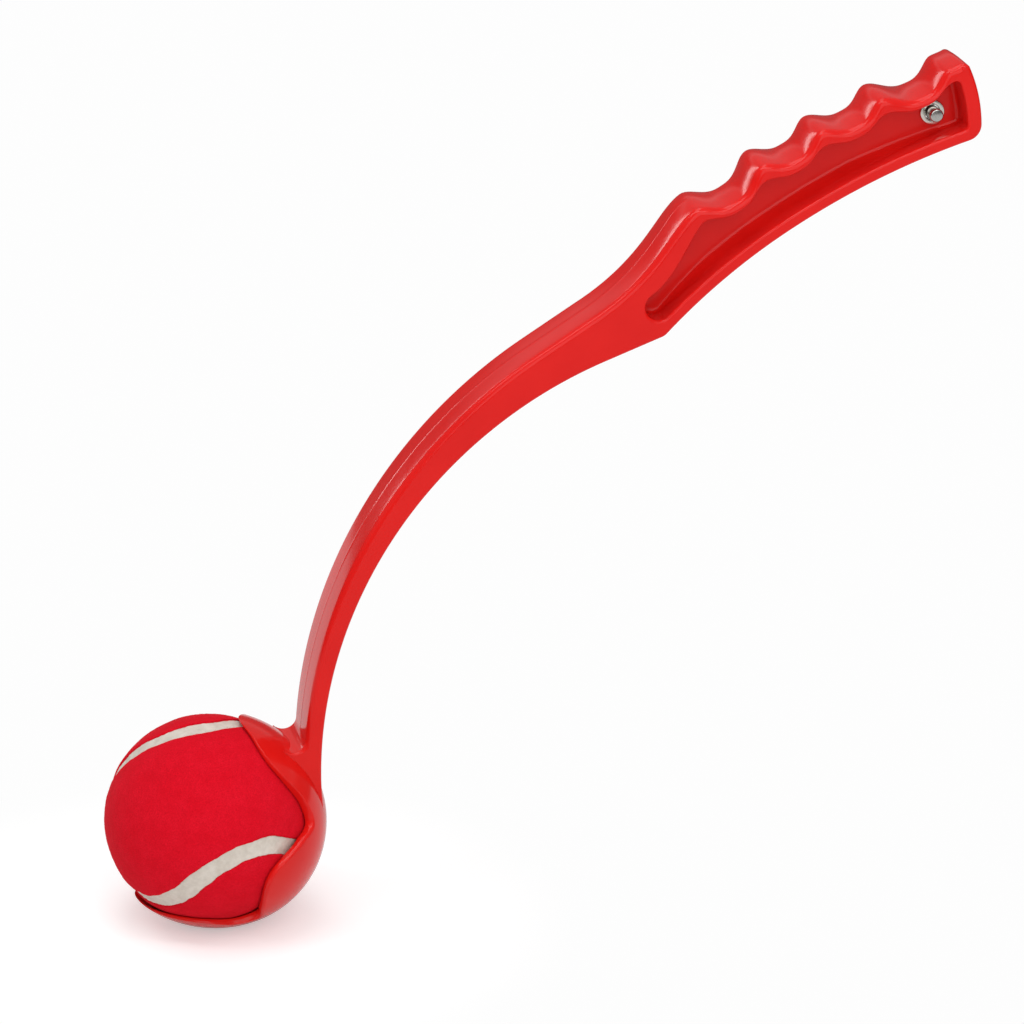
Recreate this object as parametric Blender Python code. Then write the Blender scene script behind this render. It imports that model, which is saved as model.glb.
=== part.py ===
"""Dog ball thrower: a curved launcher moulding that clasps a felt ball, with a hang post in its grip.

The launcher lies in the XZ plane and is symmetric about y = 0. Its near side faces -Y.
The world origin is the middle of the hang post. The pieces are laid out from the ball's centre,
and one empty carries them all, so the ball slides out of the cup along the mouth's axis.
Lengths are in metres. Two-part vectors are (x, z) in the side plane.
"""
from math import acos, asin, atan2, cos, pi, radians, sin, sqrt, tan

import bmesh
import bpy
from mathutils import Vector
from mathutils.geometry import interpolate_bezier

# Clearance between pieces that touch
GAP = 0.0003
# How far a cutter runs past the face that it opens
OVERRUN = 0.002

# Ball: a hollow rubber core under two dog-bone felt panels, with cement in the seam
BALL_RADIUS = 0.03225
FELT_THICKNESS = 0.0024
CORE_WALL = 0.0033
CORE_SEAT = 0.0005
SEAM_WIDTH = 0.0056
SEAM_RECESS = 0.0009
FELT_EDGE_ROLL = 0.0012
FELT_EDGE_DROP = 0.0005
SEAM_SWAY_SHARE = 0.175
BALL_TURN = (radians(-42.2), radians(25.3), radians(-120.9))

# Cup: a bowl round the ball, with a finger above, a finger below and a lobe on each side
MOUTH_TILT = radians(150.0)
CUP_CLEARANCE = 0.0004
CUP_LIP_WALL = 0.0011
CUP_BACK_WALL = 0.0045
CUP_SWELL_POWERS = (1.2, 3.0)
LIP_ROUND_SHARE = 0.3
CUP_FLAT_WALL = 0.00105
# Rim: turn about the mouth's axis from the upper finger, and angle from that axis, in degrees
RIM_DEGREES = (
    (0, 77.5), (16, 83.5), (28.5, 92), (35.5, 105), (40, 122), (48, 132), (64, 128),
    (90, 119.6), (116, 128), (130, 132), (137, 122), (139, 105), (148, 91), (163, 81), (180, 75.5))
BACK_DEGREES = 176.0

# Arm and grip: one slab of even width, with rounded long edges
ARM_WIDTH = 0.022
EDGE_ROUND = 0.002
GRIP_TILT = radians(32.07)

# Arm outline, in grip coordinates: along the grip from its heel, and rise square to it.
# The back is an arc that sweeps from the grip to the cup, and the arm thins on the way.
ARM_SWEEP = radians(62.69)
ARM_BACK_RADIUS = 0.1549
ARM_BACK_ALONG = -0.039
ARM_BACK_RISE = 0.01765
ARM_HEEL_DEPTH = 0.01185
ARM_CUP_DEPTH = 0.0052
ARM_FRONT_END = -0.022
CUP_SEAT_DROP = 0.00279
CUP_FILLET = 0.004
BACK_MEETS_CUP = radians(100.0)
WELD_DEPTH = 0.0004

# Palm side of the grip
HEEL_ALONG = -0.0027
HEEL_ROUND = 0.0045
PALM_ALONG = 0.044
PALM_RISE = 0.0053
PALM_HEEL_RADIUS = 0.192
PALM_END_RADIUS = 0.238

# Free end of the grip
GRIP_LENGTH = 0.11915
END_RADIUS = 0.046
END_RISE = 0.0218
END_LOWER_ROUND = 0.005
END_UPPER_ROUND = 0.0026

# Finger side of the grip: crests on a shallow arc, grooves between them
CREST_RADIUS = 0.431
CREST_ALONG = 0.032
CREST_RISE = 0.028
CREST_PLACE_SHARES = (0.214, 0.4165, 0.59, 0.764, 0.952)
GROOVE_DEPTH = 0.0053
GROOVE_SHARES = (1.0, 0.78, 0.78, 0.96)
RAMP_ALONG = -0.02
RAMP_SHARES = ((0.571, -0.06), (0.791, 0.95))

# Pocket in each side of the grip, with a web between them
WEB_THICKNESS = 0.002
PALM_WALL = 0.0037
CREST_WALL = 0.0049
END_WALL = 0.0045
POCKET_GROOVE_SHARE = 0.67
POCKET_CREST_SHIFT = 0.0013
POCKET_FIRST_AHEAD = 0.0014
POCKET_END_ALONG = 0.0006
POCKET_END_ROUND = 0.0043
POCKET_TIP_ROUND = 0.0016
POCKET_TOE_ROUND = 0.0018
POCKET_RAMP_SHARES = ((0.37, 0.04), (0.665, 0.68))
POCKET_FLOOR_ROUND = 0.0012
POCKET_RIM_ROUND = 0.0004

# Hang post through a flanged eyelet in the web
POST_FROM_END = 0.01595
POST_FROM_WALL = 0.00633
POST_RADIUS = 0.0021
POST_LENGTH = 0.0132
POST_CHAMFER = 0.0003
POST_GROOVE_DEPTH = 0.0003
POST_GROOVE_WIDTH = 0.0006
POST_HEAD = 0.0014
EYELET_BARREL_WALL = 0.0005
EYELET_FLANGE_RADIUS = 0.0038
EYELET_FLANGE = 0.0006

# Fineness of the facets
ARM_STEPS = 18
PALM_STEPS = 6
GROOVE_STEPS = 10
RAMP_STEPS = 9
EDGE_STEPS = 3
ROUND_STEPS = 4
RIM_STEPS = 3
CUP_ROWS = 9
CORE_SIDES = 28
CORE_ROWS = 6
FELT_RUNGS = 30
FELT_COLUMNS = 8
SEAM_STEPS = 72
POST_SIDES = 20


def clear_scene():
    for item in list(bpy.data.objects):
        bpy.data.objects.remove(item, do_unlink=True)


def material(name, colour, roughness, metallic=0.0):
    """A plain Principled material; the colour is linear RGB."""
    made = bpy.data.materials.new(name)
    made.use_nodes = True
    shader = made.node_tree.nodes["Principled BSDF"]
    shader.inputs["Base Color"].default_value = (*colour, 1.0)
    shader.inputs["Roughness"].default_value = roughness
    shader.inputs["Metallic"].default_value = metallic
    return made


def lofted(name, rings, finish, closed=False, carrier=None):
    """Join equal rings of points by quads; the ends are capped, or joined to each other."""
    mesh = bmesh.new()
    rows = [[mesh.verts.new(point) for point in ring] for ring in rings]
    pairs = list(zip(rows, rows[1:]))
    if closed:
        pairs.append((rows[-1], rows[0]))
    else:
        mesh.faces.new(rows[0])
        mesh.faces.new(rows[-1])
    for row, following in pairs:
        for index in range(len(row)):
            after = (index + 1) % len(row)
            mesh.faces.new((row[index], row[after], following[after], following[index]))
    bmesh.ops.recalc_face_normals(mesh, faces=mesh.faces)
    data = bpy.data.meshes.new(name)
    mesh.to_mesh(data)
    mesh.free()
    data.shade_smooth()
    data.set_sharp_from_angle(angle=radians(35))
    data.materials.append(finish)
    item = bpy.data.objects.new(name, data)
    bpy.context.collection.objects.link(item)
    item.parent = carrier
    return item


def boolean(target, tool, operation):
    """Add an exact Boolean to the target; the tool is kept as a hidden cutter."""
    tool.hide_render = True
    tool.display_type = "WIRE"
    modifier = target.modifiers.new(tool.name, "BOOLEAN")
    modifier.operation = operation
    modifier.solver = "EXACT"
    modifier.object = tool


# Side-plane geometry

def arm_place(angle, depth):
    """Grip coordinates of a place on the arm: its angle round the sweep, and its depth under the back."""
    radius = ARM_BACK_RADIUS - depth
    along = ARM_BACK_ALONG - radius * sin(angle)
    rise = ARM_BACK_RISE - ARM_BACK_RADIUS + radius * cos(angle)
    return along, rise


def arm_depth(angle):
    """Depth of the arm, which thins from the heel to the cup."""
    thinning = (1 - cos(ARM_SWEEP - angle)) / (1 - cos(ARM_SWEEP))
    return ARM_CUP_DEPTH + (ARM_HEEL_DEPTH - ARM_CUP_DEPTH) * thinning


def from_grip(along, rise):
    """Grip coordinates to (x, z) from the ball's centre, which lies at the end of the arm's sweep."""
    ball_along, ball_rise = arm_place(ARM_SWEEP, CUP_SEAT_DROP - BALL_RADIUS)
    ahead = along - ball_along
    above = rise - ball_rise
    x = ahead * cos(GRIP_TILT) - above * sin(GRIP_TILT)
    z = ahead * sin(GRIP_TILT) + above * cos(GRIP_TILT)
    return Vector((x, z))


def along_grip(point):
    """How far along the grip a point in the side plane lies."""
    ahead = point - from_grip(0.0, 0.0)
    return ahead.x * cos(GRIP_TILT) + ahead.y * sin(GRIP_TILT)


def angle_to(centre, point):
    return atan2(point.y - centre.y, point.x - centre.x)


def on_circle(centre, radius, angle):
    return centre + radius * Vector((cos(angle), sin(angle)))


def arc(centre, radius, start, end, steps):
    """Points along an arc the short way round, both ends included."""
    sweep = (end - start + pi) % (2 * pi) - pi
    return [on_circle(centre, radius, start + sweep * step / steps) for step in range(steps + 1)]


def meeting(centre_a, radius_a, centre_b, radius_b, side):
    """One of the two points where circles a and b cross; side is 1 for left of a to b, -1 for right."""
    apart = centre_b - centre_a
    run = (apart.length_squared + radius_a ** 2 - radius_b ** 2) / (2 * apart.length)
    off = sqrt(radius_a ** 2 - run ** 2)
    along = apart.normalized()
    return centre_a + along * run + side * off * Vector((-along.y, along.x))


def bend(start, end, handle_shares, steps):
    """A cubic curve whose handles are shares of the box from start to end, in grip coordinates."""
    size = (end[0] - start[0], end[1] - start[1])
    knots = [Vector(start)]
    for along_share, rise_share in handle_shares:
        knots.append(Vector((start[0] + size[0] * along_share, start[1] + size[1] * rise_share)))
    knots.append(Vector(end))
    return [from_grip(point.x, point.y) for point in interpolate_bezier(*knots, steps + 1)]


def rounded_corner(before, corner, after, radius, steps):
    """The arc that rounds a corner between two nearly straight runs."""
    towards_before = (before - corner).normalized()
    towards_after = (after - corner).normalized()
    half = acos(towards_before.dot(towards_after)) / 2
    centre = corner + (towards_before + towards_after).normalized() * radius / sin(half)
    start = corner + towards_before * radius / tan(half)
    end = corner + towards_after * radius / tan(half)
    return arc(centre, radius, angle_to(centre, start), angle_to(centre, end), steps)


def crest_line(along):
    """Rise of the arc on which the crests lie."""
    return CREST_RISE - CREST_RADIUS + sqrt(CREST_RADIUS ** 2 - (along - CREST_ALONG) ** 2)


def ridges(first_crest, last_crest, lowered, shift, depth):
    """Crests and grooves from the last crest back to the first, the whole row lowered and shifted."""
    points = []
    middle = [share * GRIP_LENGTH for share in CREST_PLACE_SHARES[1:-1]]
    crests = [first_crest] + middle + [last_crest]
    gaps = list(zip(crests, crests[1:], GROOVE_SHARES))
    for start, end, groove_share in reversed(gaps):
        for step in range(GROOVE_STEPS):
            place = 1 - step / GROOVE_STEPS
            along = start + (end - start) * place
            dip = depth * groove_share * (1 - abs(cos(pi * place)) ** 3)
            points.append(from_grip(along - shift, crest_line(along) - lowered - dip))
    return points


def palm(lift, from_along, to_along, radius):
    """Points of one palm arc, moved into the grip by the lift."""
    centre = from_grip(PALM_ALONG, PALM_RISE - radius)
    grown = radius + lift
    start = pi / 2 + GRIP_TILT - asin((from_along - PALM_ALONG) / (radius + lift))
    end = pi / 2 + GRIP_TILT - asin((to_along - PALM_ALONG) / (radius + lift))
    return arc(centre, grown, start, end, PALM_STEPS)


def grip_end(inset, lower_round):
    """End of the palm, rounded lower corner and start of the end face, moved inwards by the inset."""
    palm_centre = from_grip(PALM_ALONG, PALM_RISE - PALM_END_RADIUS)
    end_centre = from_grip(GRIP_LENGTH - END_RADIUS, END_RISE)
    palm_radius = PALM_END_RADIUS + inset[0]
    end_radius = END_RADIUS - inset[1]
    middle = meeting(palm_centre, palm_radius + lower_round, end_centre, end_radius - lower_round, -1)
    on_palm = angle_to(palm_centre, middle)
    on_end = angle_to(end_centre, middle)
    palm_start = pi / 2 + GRIP_TILT
    points = arc(palm_centre, palm_radius, palm_start, on_palm, PALM_STEPS)
    first = angle_to(middle, points[-1])
    points += arc(middle, lower_round, first, on_end, ROUND_STEPS)[1:]
    return points, end_centre, end_radius, on_end


def arm_and_grip_outline():
    """The slab's outline, from the cup along the front, round the grip and back to the cup."""
    ball = Vector((0.0, 0.0))
    weld_radius = BALL_RADIUS + CUP_CLEARANCE + WELD_DEPTH
    past_heel = asin((ARM_FRONT_END - ARM_BACK_ALONG) / (ARM_BACK_RADIUS - ARM_HEEL_DEPTH))
    front = []
    for step in range(ARM_STEPS + 1):
        angle = ARM_SWEEP - (ARM_SWEEP + past_heel) * step / ARM_STEPS
        front.append(from_grip(*arm_place(angle, arm_depth(angle))))

    heel_palm = palm(0.0, HEEL_ALONG, PALM_ALONG, PALM_HEEL_RADIUS)
    heel = rounded_corner(front[-1], heel_palm[0], heel_palm[1], HEEL_ROUND, ROUND_STEPS)
    lower, end_centre, end_radius, on_end = grip_end((0.0, 0.0), END_LOWER_ROUND)

    crest_centre = from_grip(CREST_ALONG, CREST_RISE - CREST_RADIUS)
    tip = meeting(end_centre, end_radius - END_UPPER_ROUND, crest_centre, CREST_RADIUS - END_UPPER_ROUND, 1)
    face = arc(end_centre, end_radius, on_end, angle_to(end_centre, tip), ROUND_STEPS)[1:]
    corner = arc(tip, END_UPPER_ROUND, angle_to(end_centre, tip), angle_to(crest_centre, tip), ROUND_STEPS)[1:]

    first_crest = CREST_PLACE_SHARES[0] * GRIP_LENGTH
    ramp = bend((RAMP_ALONG, ARM_BACK_RISE), (first_crest, crest_line(first_crest)), RAMP_SHARES, RAMP_STEPS)

    back_centre = from_grip(ARM_BACK_ALONG, ARM_BACK_RISE - ARM_BACK_RADIUS)
    cup_edge = sqrt(cup_outer_radius(0.0, BACK_MEETS_CUP) ** 2 - (ARM_WIDTH / 2 - EDGE_ROUND) ** 2)
    fillet = meeting(back_centre, ARM_BACK_RADIUS + CUP_FILLET, ball, cup_edge + CUP_FILLET, -1)
    on_back = angle_to(back_centre, fillet)
    on_cup = angle_to(ball, fillet)
    back = arc(back_centre, ARM_BACK_RADIUS, pi / 2 + GRIP_TILT, on_back, ARM_STEPS)
    into_cup = arc(fillet, CUP_FILLET, on_back + pi, on_cup + pi, ROUND_STEPS)[1:]
    weld = arc(ball, weld_radius, on_cup, angle_to(ball, front[0]), ROUND_STEPS)

    outline = front + heel + heel_palm[1:-1] + lower + face + corner
    last_crest = CREST_PLACE_SHARES[-1] * GRIP_LENGTH
    outline += ridges(first_crest, last_crest, 0.0, 0.0, GROOVE_DEPTH) + ramp[::-1] + back
    fade = [0.0] + [1.0] * (len(outline) - 1)
    fade += [1 - (step + 1) / ROUND_STEPS for step in range(ROUND_STEPS)]
    fade += [0.0] * len(weld)
    return outline + into_cup + weld, fade


def pocket_outline():
    """Outline of the grip's side pocket, a wall's thickness inside the slab's own."""
    heel_palm = palm(PALM_WALL, POCKET_END_ALONG, PALM_ALONG, PALM_HEEL_RADIUS)
    lower, end_centre, end_radius, on_end = grip_end((PALM_WALL, END_WALL), POCKET_TOE_ROUND)

    crest_centre = from_grip(CREST_ALONG - POCKET_CREST_SHIFT, CREST_RISE - CREST_WALL - CREST_RADIUS)
    crest_radius = CREST_RADIUS - POCKET_TIP_ROUND
    tip = meeting(end_centre, end_radius - POCKET_TIP_ROUND, crest_centre, crest_radius, 1)
    face = arc(end_centre, end_radius, on_end, angle_to(end_centre, tip), ROUND_STEPS)[1:]
    corner = arc(tip, POCKET_TIP_ROUND, angle_to(end_centre, tip), angle_to(crest_centre, tip), ROUND_STEPS)[1:]
    first_crest = CREST_PLACE_SHARES[0] * GRIP_LENGTH + POCKET_FIRST_AHEAD
    last_crest = along_grip(tip) + POCKET_CREST_SHIFT
    depth = GROOVE_DEPTH * POCKET_GROOVE_SHARE
    row = ridges(first_crest, last_crest, CREST_WALL, POCKET_CREST_SHIFT, depth)

    foot = from_grip(POCKET_END_ALONG, 0.0)
    upwards = Vector((-sin(GRIP_TILT), cos(GRIP_TILT)))
    lowest = (heel_palm[0] - foot).dot(upwards)
    top = lowest + 2 * POCKET_END_ROUND
    peak = (first_crest - POCKET_CREST_SHIFT, crest_line(first_crest) - CREST_WALL)
    ramp = bend((POCKET_END_ALONG, top), peak, POCKET_RAMP_SHARES, RAMP_STEPS)
    middle = from_grip(POCKET_END_ALONG, lowest + POCKET_END_ROUND)
    upper = arc(middle, POCKET_END_ROUND, pi / 2 + GRIP_TILT, pi + GRIP_TILT, ROUND_STEPS)[1:]
    under = arc(middle, POCKET_END_ROUND, pi + GRIP_TILT, 1.5 * pi + GRIP_TILT, ROUND_STEPS)[1:-1]
    return heel_palm[:-1] + lower + face + corner + row + ramp[::-1] + upper + under


def inset_ring(outline, inset, level, fade=None):
    """The outline moved square to itself into its own area, at one level across the slab."""
    ring = []
    count = len(outline)
    for index, point in enumerate(outline):
        before = (point - outline[index - 1]).normalized()
        after = (outline[(index + 1) % count] - point).normalized()
        left = Vector((-(before.y + after.y), before.x + after.x)).normalized()
        stretch = 1 / max(left.dot(Vector((-after.y, after.x))), 0.5)
        amount = inset * stretch * (fade[index] if fade else 1.0)
        moved = point + left * amount
        ring.append(Vector((moved.x, level, moved.y)))
    return ring


def post_place():
    """Middle of the hang post, at set distances from the grip's end and from the pocket's palm wall."""
    along = GRIP_LENGTH - POST_FROM_END
    palm_rise = PALM_RISE - PALM_END_RADIUS + sqrt(PALM_END_RADIUS ** 2 - (along - PALM_ALONG) ** 2)
    return from_grip(along, palm_rise + PALM_WALL + POST_FROM_WALL)


# Cup and launcher

def cup_inner_radius(angle):
    """Radius inside the cup: a sphere, and past the ball's widest ring a bore along the mouth's axis."""
    return (BALL_RADIUS + CUP_CLEARANCE) / (sin(angle) if angle < pi / 2 else 1.0)


def cup_outer_radius(turn, angle):
    """The wall swells from the lip to the back of the cup, and sooner on the arm's side."""
    lip = radians(RIM_DEGREES[0][1])
    from_lip = max(angle - lip, 0.0) / (pi - lip)
    upper_power, lower_power = CUP_SWELL_POWERS
    power = upper_power + (lower_power - upper_power) * (1 - cos(turn)) / 2
    swell = sin(pi / 2 * from_lip) ** power
    return BALL_RADIUS + CUP_CLEARANCE + CUP_LIP_WALL + (CUP_BACK_WALL - CUP_LIP_WALL) * swell


def cup_direction(turn, angle):
    """Unit vector at an angle from the mouth's axis, turned about it from the upper finger."""
    mouth = Vector((cos(MOUTH_TILT), 0.0, sin(MOUTH_TILT)))
    upper = Vector((sin(MOUTH_TILT), 0.0, -cos(MOUTH_TILT)))
    near = Vector((0.0, -1.0, 0.0))
    return mouth * cos(angle) + (upper * cos(turn) + near * sin(turn)) * sin(angle)


def rim_line():
    """Smooth closed rim through the near half's points and their mirror images, as (turn, angle)."""
    half = list(RIM_DEGREES)
    whole = half + [(360 - turn, angle) for turn, angle in reversed(half[1:-1])]
    knots = [Vector((radians(turn), radians(angle))) for turn, angle in whole]
    round_trip = Vector((2 * pi, 0.0))
    count = len(knots)
    line = []
    for index in range(count):
        around = []
        for offset in (-1, 0, 1, 2):
            laps, place = divmod(index + offset, count)
            around.append(knots[place] + round_trip * laps)
        start_handle = around[1] + (around[2] - around[0]) / 6
        end_handle = around[2] - (around[3] - around[1]) / 6
        line += interpolate_bezier(around[1], start_handle, end_handle, around[2], RIM_STEPS + 1)[:-1]
    return line


def cup_rings():
    """Rings from the back of the cup outside, over the lip, to the back inside."""
    rim = rim_line()
    back = radians(BACK_DEGREES)
    outside = []
    inside = []
    for row in range(CUP_ROWS + 1):
        share = row / CUP_ROWS
        outer_ring = []
        inner_ring = []
        for turn, rim_angle in rim:
            wall = cup_outer_radius(turn, rim_angle) - cup_inner_radius(rim_angle)
            soft_start = rim_angle + LIP_ROUND_SHARE * wall / BALL_RADIUS
            angle = soft_start + (back - soft_start) * share
            direction = cup_direction(turn, angle)
            outer_ring.append(direction * cup_outer_radius(turn, angle))
            inner_ring.append(direction * cup_inner_radius(angle))
        outside.append(outer_ring)
        inside.append(inner_ring)
    lip = []
    for wall_share in (1 - LIP_ROUND_SHARE, LIP_ROUND_SHARE):
        ring = []
        for turn, rim_angle in rim:
            inner = cup_inner_radius(rim_angle)
            wall = cup_outer_radius(turn, rim_angle) - inner
            ring.append(cup_direction(turn, rim_angle) * (inner + wall * wall_share))
        lip.append(ring)
    return outside[::-1] + lip + inside


def slab(name, outline, fade, finish, carrier):
    """The extruded arm and grip with both long edges rounded."""
    half_width = ARM_WIDTH / 2
    rings = []
    for step in range(EDGE_STEPS + 1):
        turn = pi / 2 * (1 - step / EDGE_STEPS)
        level = half_width - EDGE_ROUND + EDGE_ROUND * sin(turn)
        rings.append(inset_ring(outline, EDGE_ROUND * (1 - cos(turn)), level, fade))
    mirrored = [[Vector((point.x, -point.y, point.z)) for point in ring] for ring in reversed(rings)]
    return lofted(name, rings + mirrored, finish, carrier=carrier)


def pocket_cutter(name, outline, side, finish, carrier):
    """A cutter for one side pocket, with a rounded floor edge and an eased rim."""
    half_width = ARM_WIDTH / 2
    floor = WEB_THICKNESS / 2
    rings = []
    for step in range(EDGE_STEPS):
        turn = pi / 2 * step / (EDGE_STEPS - 1)
        inset = POCKET_FLOOR_ROUND * (1 - sin(turn))
        level = floor + POCKET_FLOOR_ROUND * (1 - cos(turn))
        rings.append(inset_ring(outline, inset, side * level))
    rings.append(inset_ring(outline, 0.0, side * (half_width - POCKET_RIM_ROUND)))
    flare = POCKET_RIM_ROUND + OVERRUN
    rings.append(inset_ring(outline, -flare, side * (half_width + OVERRUN)))
    return lofted(name, rings, finish, carrier=carrier)


def box(name, low, high, finish, carrier):
    corners = [(low.x, low.y), (high.x, low.y), (high.x, high.y), (low.x, high.y)]
    rings = [[Vector((x, y, level)) for x, y in corners] for level in (low.z, high.z)]
    return lofted(name, rings, finish, carrier=carrier)


def launcher_moulding(carrier):
    red = material("launcher_plastic", (0.74, 0.035, 0.032), 0.22)
    outline, fade = arm_and_grip_outline()
    launcher = lofted("launcher_moulding", cup_rings(), red, carrier=carrier)
    boolean(launcher, slab("arm_and_grip_body", outline, fade, red, carrier), "UNION")

    reach = BALL_RADIUS + CUP_BACK_WALL + OVERRUN
    low = Vector((-reach, -reach, -reach))
    high = Vector((reach, reach, -BALL_RADIUS - CUP_CLEARANCE - CUP_FLAT_WALL))
    boolean(launcher, box("cup_flat_cutter", low, high, red, carrier), "DIFFERENCE")

    pocket = pocket_outline()
    for side, label in ((-1, "near"), (1, "far")):
        cutter = pocket_cutter("pocket_cutter_" + label, pocket, side, red, carrier)
        boolean(launcher, cutter, "DIFFERENCE")

    post = post_place()
    hole_radius = POST_RADIUS + EYELET_BARREL_WALL + 2 * GAP
    depth = WEB_THICKNESS / 2 + OVERRUN
    rings = [turned_ring(hole_radius, level) for level in (-depth, depth)]
    hole = lofted("post_hole_cutter", rings, red, carrier=carrier)
    hole.location = (post.x, 0.0, post.y)
    boolean(launcher, hole, "DIFFERENCE")
    return launcher


# Hang post

def turned_ring(radius, level):
    """A ring of points about the Y axis."""
    angles = [2 * pi * side / POST_SIDES for side in range(POST_SIDES)]
    return [Vector((radius * cos(angle), level, radius * sin(angle))) for angle in angles]


def post_eyelet(carrier):
    """Barrel through the web with a flange on each face of it."""
    nickel = material("eyelet_nickel", (0.72, 0.70, 0.67), 0.25, 1.0)
    bore = POST_RADIUS + GAP
    barrel = bore + EYELET_BARREL_WALL
    inner = WEB_THICKNESS / 2 + GAP
    outer = inner + EYELET_FLANGE
    soft = EYELET_FLANGE / 2
    half = [(barrel, inner), (EYELET_FLANGE_RADIUS, inner), (EYELET_FLANGE_RADIUS, outer - soft)]
    half += [(EYELET_FLANGE_RADIUS - soft, outer), (bore, outer)]
    profile = half + [(radius, -level) for radius, level in reversed(half)]
    rings = [turned_ring(radius, level) for radius, level in profile]
    return lofted("post_eyelet", rings, nickel, closed=True, carrier=carrier)


def lanyard_post(carrier):
    """Turned pin with a shallow groove behind each head."""
    steel = material("post_steel", (0.62, 0.61, 0.60), 0.18, 1.0)
    end = POST_LENGTH / 2
    neck = POST_RADIUS - POST_GROOVE_DEPTH
    head = end - POST_HEAD
    groove = head - POST_GROOVE_WIDTH
    half = [(POST_RADIUS - POST_CHAMFER, end), (POST_RADIUS, end - POST_CHAMFER), (POST_RADIUS, head)]
    half += [(neck, head), (neck, groove), (POST_RADIUS, groove)]
    profile = half + [(radius, -level) for radius, level in reversed(half)]
    rings = [turned_ring(radius, level) for radius, level in profile]
    return lofted("lanyard_post", rings, steel, carrier=carrier)


# Ball

def seam_frame(place):
    """Point of the seam on the unit sphere, and the unit direction across the seam."""
    sway = SEAM_SWAY_SHARE
    main = 1 - sway
    lift = 2 * sqrt(main * sway)
    point = Vector((main * cos(place) + sway * cos(3 * place), main * sin(place) - sway * sin(3 * place),
                    lift * sin(2 * place)))
    travel = Vector((-main * sin(place) - 3 * sway * sin(3 * place),
                     main * cos(place) - 3 * sway * cos(3 * place), 2 * lift * cos(2 * place)))
    point.normalize()
    across = travel.cross(point).normalized()
    return point, across


def beside_seam(place, distance):
    """Unit vector beside the seam, at a distance along the ball's surface."""
    point, across = seam_frame(place)
    return (point + across * tan(distance / BALL_RADIUS)).normalized()


def felt_panel(name, start, side, finish, carrier):
    """One dog-bone panel: rungs across it, each from one edge to the edge opposite."""
    inner_radius = BALL_RADIUS - FELT_THICKNESS
    rings = []
    for rung in range(FELT_RUNGS):
        place = start + pi * (rung + 0.5) / FELT_RUNGS
        edge = side * SEAM_WIDTH / 2
        left = beside_seam(place, edge)
        right = beside_seam(2 * start - place, edge)
        angle = left.angle(right)
        roll = min(FELT_EDGE_ROLL / BALL_RADIUS / angle, 1 / FELT_COLUMNS)
        shares = [roll + (1 - 2 * roll) * column / FELT_COLUMNS for column in range(FELT_COLUMNS + 1)]
        outer = [left * (BALL_RADIUS - FELT_EDGE_DROP)]
        outer += [left.slerp(right, share) * BALL_RADIUS for share in shares]
        outer.append(right * (BALL_RADIUS - FELT_EDGE_DROP))
        inner = [left.slerp(right, column / FELT_COLUMNS) * inner_radius for column in range(FELT_COLUMNS + 1)]
        rings.append(outer + inner[::-1])
    return lofted(name, rings, finish, carrier=carrier)


def seam_cement(finish, carrier):
    """The band of set rubber cement between the panels' edges."""
    edge = SEAM_WIDTH / 2 - GAP
    low = BALL_RADIUS - FELT_THICKNESS
    high = BALL_RADIUS - SEAM_RECESS
    rings = []
    for step in range(SEAM_STEPS):
        place = 2 * pi * step / SEAM_STEPS
        near = beside_seam(place, edge)
        far = beside_seam(place, -edge)
        rings.append([near * low, near * high, far * high, far * low])
    return lofted("seam_cement", rings, finish, closed=True, carrier=carrier)


def core_half(name, side, finish, carrier):
    """One open rubber bowl; the two meet across the middle of the ball."""
    outer_radius = BALL_RADIUS - FELT_THICKNESS - CORE_SEAT
    inner_radius = outer_radius - CORE_WALL
    rings = []
    for radius, rows in ((outer_radius, range(CORE_ROWS, -1, -1)), (inner_radius, range(CORE_ROWS + 1))):
        for row in rows:
            rise = radians(86) * row / CORE_ROWS
            level = side * (radius * sin(rise) + GAP / 2)
            angles = [2 * pi * step / CORE_SIDES for step in range(CORE_SIDES)]
            across = radius * cos(rise)
            rings.append([Vector((across * cos(turn), across * sin(turn), level)) for turn in angles])
    return lofted(name, rings, finish, carrier=carrier)


def ball(carrier):
    felt = material("ball_felt", (0.62, 0.008, 0.014), 0.95)
    rubber = material("core_rubber", (0.03, 0.03, 0.03), 0.7)
    cement = material("seam_rubber", (0.60, 0.57, 0.52), 0.8)
    core_half("core_half_a", 1, rubber, carrier)
    core_half("core_half_b", -1, rubber, carrier)
    felt_panel("felt_panel_a", radians(-45), -1, felt, carrier)
    felt_panel("felt_panel_b", radians(45), 1, felt, carrier)
    seam_cement(cement, carrier)


def empty(name, place, carrier=None):
    item = bpy.data.objects.new(name, None)
    bpy.context.collection.objects.link(item)
    item.parent = carrier
    item.location = place
    return item


def build():
    clear_scene()
    post = post_place()
    ball_seat = empty("ball_seat", (-post.x, 0.0, -post.y))
    ball_turn = empty("ball_turn", (0.0, 0.0, 0.0), ball_seat)
    ball_turn.rotation_euler = BALL_TURN
    hang_axis = empty("hang_axis", (post.x, 0.0, post.y), ball_seat)
    launcher_moulding(ball_seat)
    post_eyelet(hang_axis)
    lanyard_post(hang_axis)
    ball(ball_turn)


build()
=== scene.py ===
"""Dog ball thrower: the looks of a moulded launcher and its felt ball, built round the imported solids.

The launcher lies in the XZ plane, symmetric about y = 0, with its near side facing -Y.
The world origin is the middle of the hang post. Shapes are laid out from the ball's centre and then
moved to their place. Lengths are in metres. Two-part vectors are (x, z) in the side plane.
"""

import random
from math import acos, asin, atan2, cos, pi, radians, sin, sqrt, tan

import bmesh
import bpy
from mathutils import Euler, Matrix, Vector, noise
from mathutils.geometry import interpolate_bezier


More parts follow.
